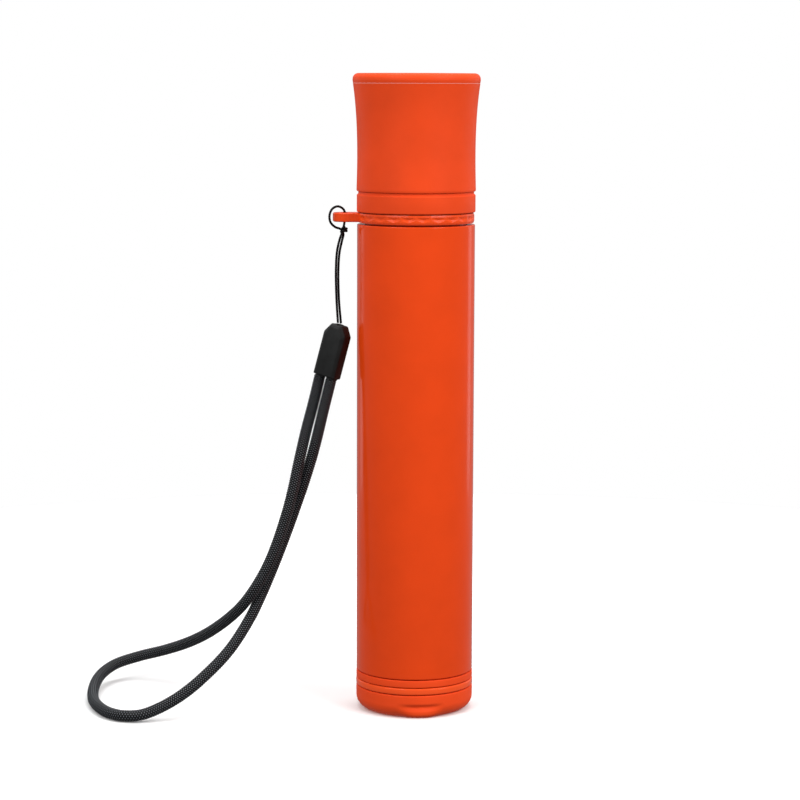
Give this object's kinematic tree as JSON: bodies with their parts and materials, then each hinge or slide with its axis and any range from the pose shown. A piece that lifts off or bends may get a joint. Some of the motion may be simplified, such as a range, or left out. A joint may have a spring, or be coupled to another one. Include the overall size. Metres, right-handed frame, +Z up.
{
  "type": "rescue tube",
  "caption": "Pocket self-inflating rescue tube packed in a hard canister with a flared pull-off cap, a screwed base, a swivel lanyard ring and a wrist strap.",
  "frame": {"origin": "centre of the flat underside of the base", "axes": "+Z up along the canister's axis, -X towards the lanyard eyelet at rest, -Y towards the thumb lip"},
  "size_m": [0.1369, 0.0668, 0.2188],
  "materials": {
    "orange_gloss": "glossy orange moulding",
    "orange_soft": "matte orange soft-touch moulding",
    "orange_trim": "bright glossy orange ring",
    "black_plastic": "fine matte black",
    "black_cord": "braided black polyester",
    "grey_nylon": "natural grey nylon",
    "seal_rubber": "soft black rubber",
    "steel": "plain steel",
    "brass": "turned brass",
    "red_plastic": "glossy red",
    "rescue_fabric": "folded coated nylon"
  },
  "bodies": {
    "base": {"base_cup": "orange_soft", "base_trim_ring": "orange_trim", "base_band": "orange_soft", "base_plug": "grey_nylon", "cartridge_cradle": "seal_rubber"},
    "base_seal": {"base_o_ring": "seal_rubber"},
    "canister": {"body_tube": "orange_gloss", "neck_sleeve": "orange_gloss", "neck_o_ring_lower": "seal_rubber", "neck_o_ring_upper": "seal_rubber", "inflator_body": "grey_nylon", "cartridge_seal": "seal_rubber", "co2_cartridge": "steel", "lever_pivot_pin": "steel", "pin_spring": "steel", "bulkhead_disc": "grey_nylon", "bladder_inlet": "brass", "rescue_bladder": "rescue_fabric", "oral_tube": "black_plastic", "oral_valve_cap": "red_plastic"},
    "lever": {"firing_lever": "steel"},
    "pin": {"piercing_pin": "brass"},
    "pull": {"pull_toggle": "black_plastic", "pull_cord": "black_cord", "pull_knob": "red_plastic"},
    "lanyard": {"lanyard_ring": "orange_gloss", "tether_string": "black_cord", "cord_clasp": "black_plastic", "wrist_cord": "black_cord"},
    "cap": {"cap_grip_sleeve": "orange_soft", "cap_skirt_band": "orange_soft", "cap_shell": "orange_gloss", "cap_end_disc": "orange_soft", "cap_liner_seal": "seal_rubber"}
  },
  "joints": [
    {"name": "base_turn", "type": "hinge", "parent": "base", "child": "base_seal", "pos_m": [0, 0, 0], "axis": [0, 0, 1], "range_deg": [0, 1080]},
    {"name": "base_travel", "type": "slide", "parent": "base_seal", "child": "canister", "axis": [0, 0, 1], "range_m": [0, 0.009]},
    {"name": "ring_swivel", "type": "hinge", "parent": "canister", "child": "lanyard", "pos_m": [0, 0, 0.1702], "axis": [0, 0, 1], "continuous": true},
    {"name": "cap_pull", "type": "slide", "parent": "canister", "child": "cap", "axis": [0, 0, 1], "range_m": [0, 0.045]},
    {"name": "pull_draw", "type": "slide", "parent": "canister", "child": "pull", "axis": [0, 0, 1], "range_m": [0, 0.00727], "stiffness_N_per_m": 150},
    {"name": "lever_swing", "type": "hinge", "parent": "canister", "child": "lever", "pos_m": [-0.0052, 0, 0.112], "axis": [0, 1, 0], "range_deg": [0, 50]},
    {"name": "pin_drive", "type": "slide", "parent": "canister", "child": "pin", "axis": [0, 0, -1], "range_m": [0, 0.0041], "deforming": ["pin_spring"]}
  ],
  "couplings": [
    {"joint": "base_turn", "follows": "base_travel", "rad_per_m": 2094.4},
    {"joint": "lever_swing", "follows": "pull_draw", "rad_per_m": 119.96},
    {"joint": "pin_drive", "follows": "pull_draw", "ratio": 0.5495}
  ]
}
